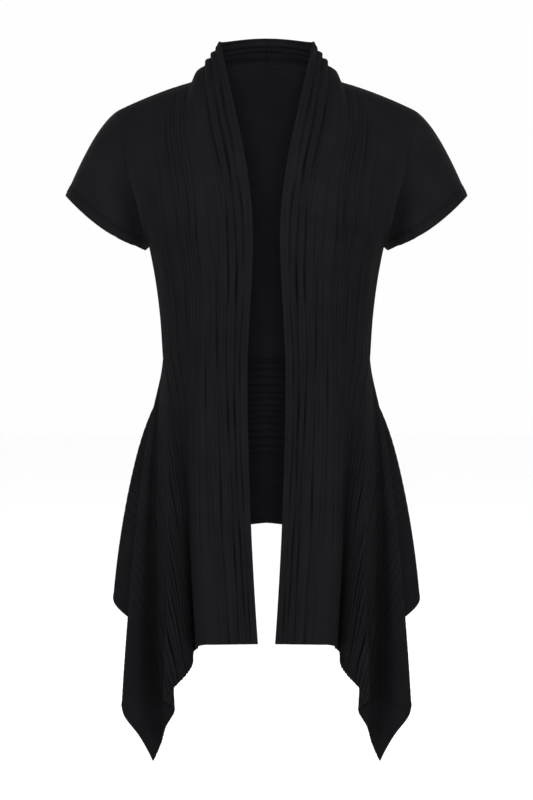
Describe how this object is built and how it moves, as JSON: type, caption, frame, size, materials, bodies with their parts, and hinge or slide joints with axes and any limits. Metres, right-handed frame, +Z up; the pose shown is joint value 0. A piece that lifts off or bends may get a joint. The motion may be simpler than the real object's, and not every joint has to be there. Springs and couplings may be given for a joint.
{
  "type": "cardigan",
  "caption": "Open-front rib-knit cardigan with cap sleeves, a soft standing collar and a pointed handkerchief hem, in its worn shape.",
  "frame": {"origin": "midway between the neck ends of the two shoulder seams, where the wearer's shoulders hold the cardigan up", "axes": "+Z up, the open front faces -Y, +X is the wearer's left, the two sides mirror each other across X"},
  "size_m": [0.5254, 0.2304, 0.9509],
  "materials": {
    "rib_knit": "matt black rib knit, wide and narrow ribs",
    "jersey": "matt black plain jersey"
  },
  "bodies": {
    "root": {"front_left": "rib_knit", "front_right": "rib_knit", "collar_left": "rib_knit", "collar_right": "rib_knit", "back_skirt": "rib_knit", "back_upper": "jersey", "sleeve_left": "jersey", "sleeve_right": "jersey"}
  },
  "joints": []
}
